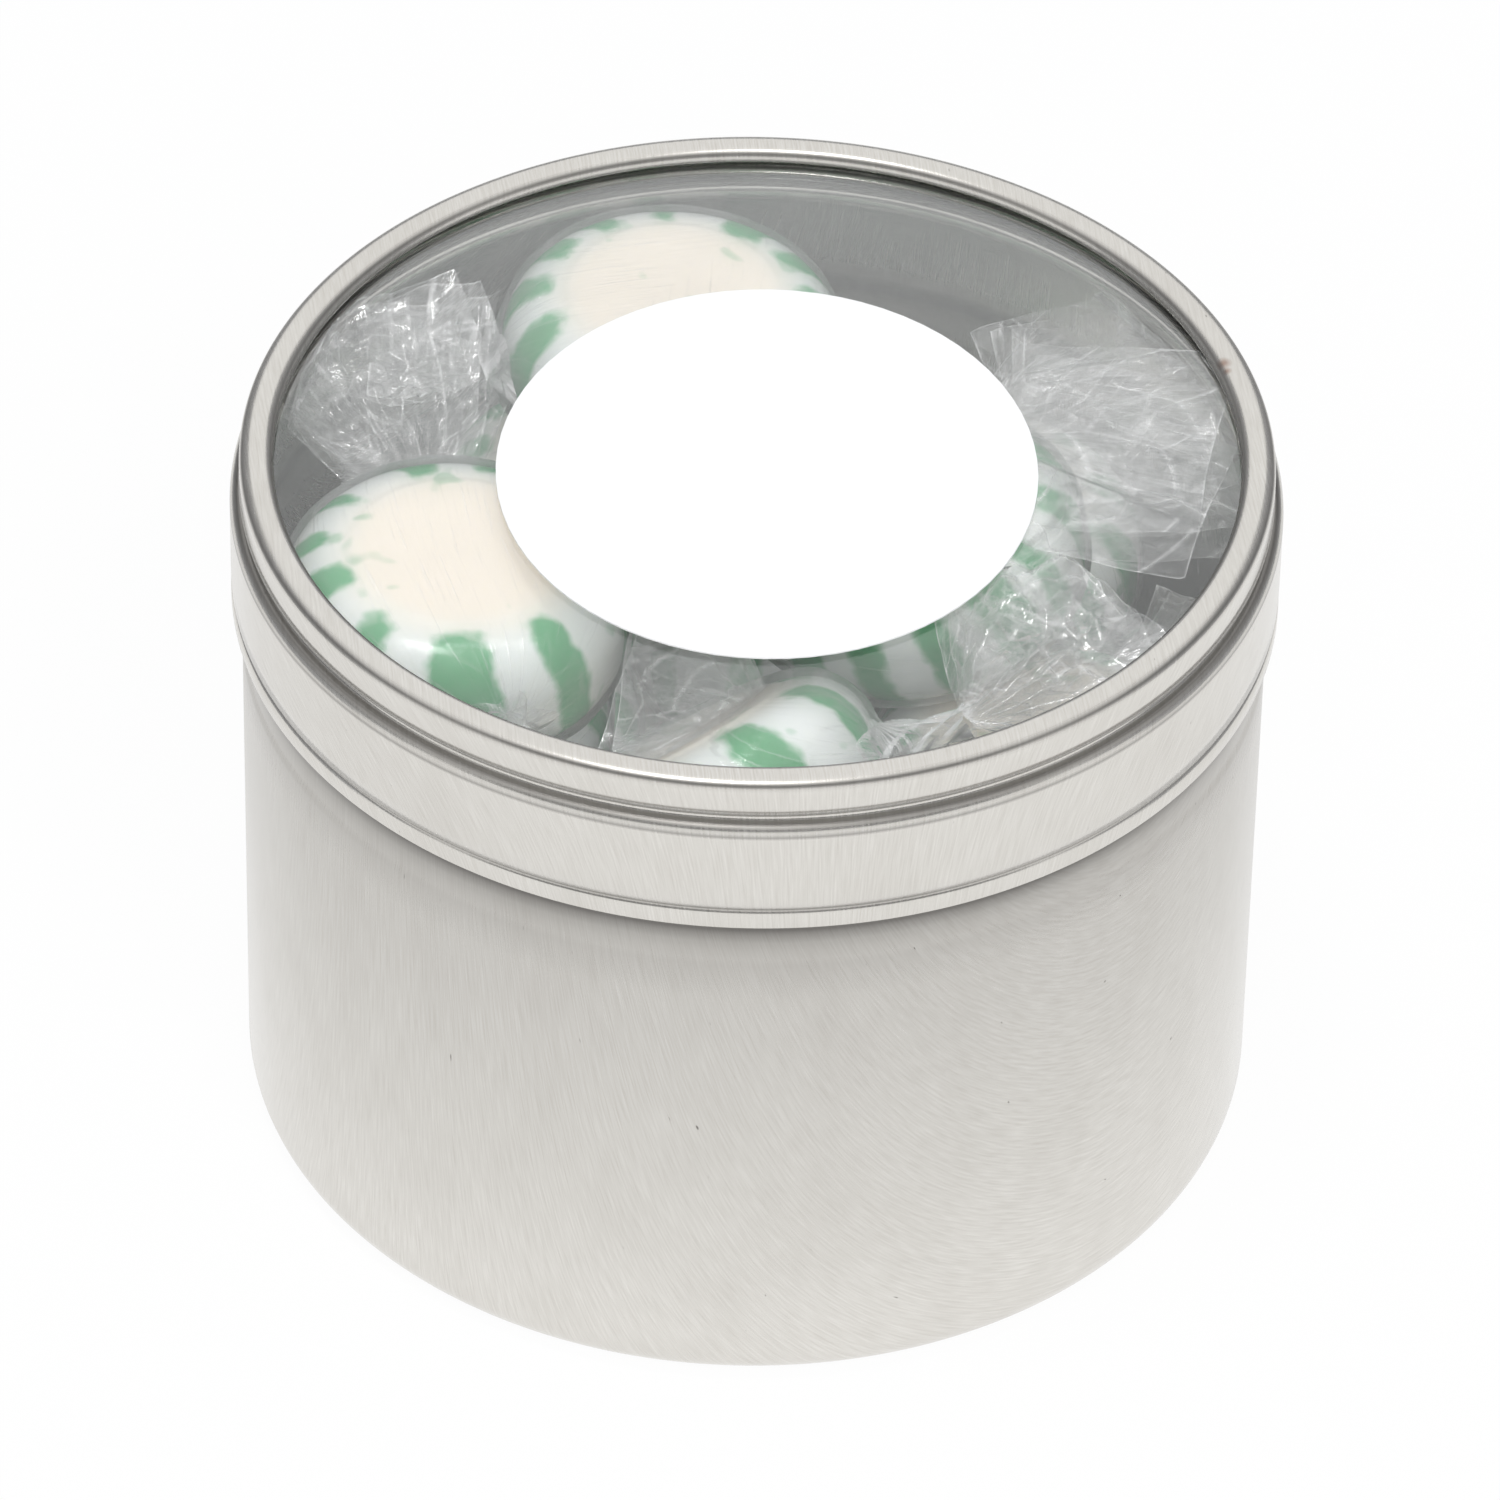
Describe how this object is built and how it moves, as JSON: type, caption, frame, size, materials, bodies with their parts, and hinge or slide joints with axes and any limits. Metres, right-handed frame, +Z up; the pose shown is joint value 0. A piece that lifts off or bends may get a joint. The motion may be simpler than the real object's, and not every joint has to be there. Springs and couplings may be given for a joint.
{
  "type": "window lid tin",
  "caption": "Round tinplate tin with a slip lid, clear window, folded hem and blank oval label, filled with wrapped mints.",
  "frame": {"origin": "centre of the plane that the tin stands on", "axes": "+Z up along the tin's axis, +Y to the back of the label, +X to its right"},
  "size_m": [0.076, 0.076, 0.057],
  "materials": {
    "tinplate": "satin",
    "window": "clear",
    "label": "matte",
    "mint": "semi gloss",
    "film": "clear, crinkled"
  },
  "bodies": {
    "tin": {"tin_body": "tinplate", "mint_bottom_1": "mint", "mint_bottom_2": "mint", "mint_bottom_3": "mint", "mint_bottom_4": "mint", "mint_bottom_5": "mint", "mint_lower_1": "mint", "mint_lower_2": "mint", "mint_lower_3": "mint", "mint_lower_4": "mint", "mint_lower_5": "mint", "mint_upper_1": "mint", "mint_upper_2": "mint", "mint_upper_3": "mint", "mint_upper_4": "mint", "mint_top_left": "mint", "mint_top_back": "mint", "mint_top_front": "mint", "mint_top_right": "mint", "wrapper_bottom_1": "film", "wrapper_bottom_2": "film", "wrapper_bottom_3": "film", "wrapper_bottom_4": "film", "wrapper_bottom_5": "film", "wrapper_lower_1": "film", "wrapper_lower_2": "film", "wrapper_lower_3": "film", "wrapper_lower_4": "film", "wrapper_lower_5": "film", "wrapper_upper_1": "film", "wrapper_upper_2": "film", "wrapper_upper_3": "film", "wrapper_upper_4": "film", "wrapper_top_left": "film", "wrapper_top_back": "film", "wrapper_top_front": "film", "wrapper_top_right": "film"},
    "lid": {"lid_ring": "tinplate", "lid_window": "window", "label": "label"}
  },
  "joints": [
    {"name": "lid_lift", "type": "slide", "parent": "tin", "child": "lid", "axis": [0, 0, 1], "range_m": [0, 0.045]}
  ]
}
